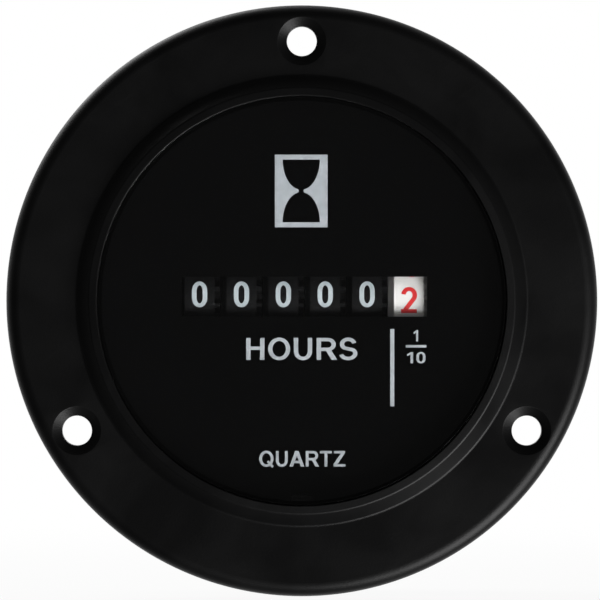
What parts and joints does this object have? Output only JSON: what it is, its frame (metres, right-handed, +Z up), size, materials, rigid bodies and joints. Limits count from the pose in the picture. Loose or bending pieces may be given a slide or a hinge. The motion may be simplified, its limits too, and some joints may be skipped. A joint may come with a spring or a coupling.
{
  "type": "panel hour meter",
  "caption": "Round black flange-mounted hour meter with a rolling number counter behind a clear lens, screw holes round the flange and blade terminals at the back.",
  "frame": {"origin": "on the case's axis, at the rear face of the flange, where it meets the panel", "axes": "the dial faces -Y, +X is to the right as the dial is read and +Z is up"},
  "size_m": [0.071, 0.0435, 0.071],
  "materials": {
    "case_black": "fine satin",
    "lens_clear": "polished",
    "seal_rubber": "matte",
    "dial_black": "matte print",
    "frame_grey": "moulded",
    "steel": "drawn",
    "wheel_black": "matte",
    "wheel_white": "matte",
    "gear_ivory": "moulded",
    "magnet": "sintered",
    "core_steel": "rolled",
    "copper_wire": "enamelled",
    "board_green": "solder mask",
    "chip_black": "moulded",
    "crystal_can": "plated",
    "capacitor_sleeve": "shrunk sleeve",
    "resistor_tan": "lacquered",
    "terminal_tin": "tinned"
  },
  "bodies": {
    "case": {"bezel_case": "case_black", "lens": "lens_clear", "lens_seal": "seal_rubber", "dial": "dial_black", "movement_frame": "frame_grey", "wheel_shaft": "steel", "pinion_shaft": "steel", "shaft_spacer": "gear_ivory", "drive_gear_stud": "steel", "reduction_gear_stud": "steel", "stator": "core_steel", "coil_core": "core_steel", "coil_bobbin": "gear_ivory", "coil_winding": "copper_wire", "motor_screws": "steel", "circuit_board": "board_green", "board_screws": "steel", "quartz_crystal": "crystal_can", "timer_chip": "chip_black", "smoothing_capacitor": "capacitor_sleeve", "rectifier_diode": "chip_black", "input_resistor": "resistor_tan", "rear_cover": "case_black", "terminal_positive": "terminal_tin", "terminal_negative": "terminal_tin"},
    "tenths_wheel": {"number_wheel_tenths": "wheel_white"},
    "ones_wheel": {"number_wheel_ones": "wheel_black"},
    "tens_wheel": {"number_wheel_tens": "wheel_black"},
    "hundreds_wheel": {"number_wheel_hundreds": "wheel_black"},
    "thousands_wheel": {"number_wheel_thousands": "wheel_black"},
    "ten_thousands_wheel": {"number_wheel_ten_thousands": "wheel_black"},
    "ones_pinion": {"carry_pinion_ones": "gear_ivory"},
    "tens_pinion": {"carry_pinion_tens": "gear_ivory"},
    "hundreds_pinion": {"carry_pinion_hundreds": "gear_ivory"},
    "thousands_pinion": {"carry_pinion_thousands": "gear_ivory"},
    "ten_thousands_pinion": {"carry_pinion_ten_thousands": "gear_ivory"},
    "drive_gear": {"drive_gear": "gear_ivory"},
    "reduction_gear": {"reduction_gear": "gear_ivory"},
    "rotor": {"rotor_pinion": "gear_ivory", "rotor_magnet": "magnet"}
  },
  "joints": [
    {"name": "tenths_wheel_turn", "type": "hinge", "parent": "case", "child": "tenths_wheel", "pos_m": [0, 0.00625, 0.0005], "axis": [-1, 0, 0], "continuous": true},
    {"name": "ones_wheel_turn", "type": "hinge", "parent": "case", "child": "ones_wheel", "pos_m": [0, 0.00625, 0.0005], "axis": [-1, 0, 0], "continuous": true},
    {"name": "tens_wheel_turn", "type": "hinge", "parent": "case", "child": "tens_wheel", "pos_m": [0, 0.00625, 0.0005], "axis": [-1, 0, 0], "continuous": true},
    {"name": "hundreds_wheel_turn", "type": "hinge", "parent": "case", "child": "hundreds_wheel", "pos_m": [0, 0.00625, 0.0005], "axis": [-1, 0, 0], "continuous": true},
    {"name": "thousands_wheel_turn", "type": "hinge", "parent": "case", "child": "thousands_wheel", "pos_m": [0, 0.00625, 0.0005], "axis": [-1, 0, 0], "continuous": true},
    {"name": "ten_thousands_wheel_turn", "type": "hinge", "parent": "case", "child": "ten_thousands_wheel", "pos_m": [0, 0.00625, 0.0005], "axis": [-1, 0, 0], "continuous": true},
    {"name": "ones_pinion_turn", "type": "hinge", "parent": "case", "child": "ones_pinion", "pos_m": [0, 0.01465, 0.0005], "axis": [-1, 0, 0], "continuous": true},
    {"name": "tens_pinion_turn", "type": "hinge", "parent": "case", "child": "tens_pinion", "pos_m": [0, 0.01465, 0.0005], "axis": [-1, 0, 0], "continuous": true},
    {"name": "hundreds_pinion_turn", "type": "hinge", "parent": "case", "child": "hundreds_pinion", "pos_m": [0, 0.01465, 0.0005], "axis": [-1, 0, 0], "continuous": true},
    {"name": "thousands_pinion_turn", "type": "hinge", "parent": "case", "child": "thousands_pinion", "pos_m": [0, 0.01465, 0.0005], "axis": [-1, 0, 0], "continuous": true},
    {"name": "ten_thousands_pinion_turn", "type": "hinge", "parent": "case", "child": "ten_thousands_pinion", "pos_m": [0, 0.01465, 0.0005], "axis": [-1, 0, 0], "continuous": true},
    {"name": "drive_gear_turn", "type": "hinge", "parent": "case", "child": "drive_gear", "pos_m": [0, 0.00656, -0.00849], "axis": [-1, 0, 0], "continuous": true},
    {"name": "reduction_gear_turn", "type": "hinge", "parent": "case", "child": "reduction_gear", "pos_m": [0, 0.0122, -0.00644], "axis": [-1, 0, 0], "continuous": true},
    {"name": "rotor_turn", "type": "hinge", "parent": "case", "child": "rotor", "pos_m": [0, 0.01784, -0.00849], "axis": [-1, 0, 0], "continuous": true}
  ],
  "couplings": [
    {"joint": "ones_wheel_turn", "follows": "tenths_wheel_turn", "ratio": 0.1},
    {"joint": "tens_wheel_turn", "follows": "tenths_wheel_turn", "ratio": 0.01},
    {"joint": "hundreds_wheel_turn", "follows": "tenths_wheel_turn", "ratio": 0.001},
    {"joint": "thousands_wheel_turn", "follows": "tenths_wheel_turn", "ratio": 0.0001},
    {"joint": "ten_thousands_wheel_turn", "follows": "tenths_wheel_turn", "ratio": 0.00001},
    {"joint": "ones_pinion_turn", "follows": "tenths_wheel_turn", "ratio": -0.25},
    {"joint": "tens_pinion_turn", "follows": "tenths_wheel_turn", "ratio": -0.025},
    {"joint": "hundreds_pinion_turn", "follows": "tenths_wheel_turn", "ratio": -0.0025},
    {"joint": "thousands_pinion_turn", "follows": "tenths_wheel_turn", "ratio": -0.00025},
    {"joint": "ten_thousands_pinion_turn", "follows": "tenths_wheel_turn", "ratio": -0.000025},
    {"joint": "drive_gear_turn", "follows": "tenths_wheel_turn", "ratio": -2},
    {"joint": "reduction_gear_turn", "follows": "tenths_wheel_turn", "ratio": 10},
    {"joint": "rotor_turn", "follows": "tenths_wheel_turn", "ratio": -50}
  ]
}
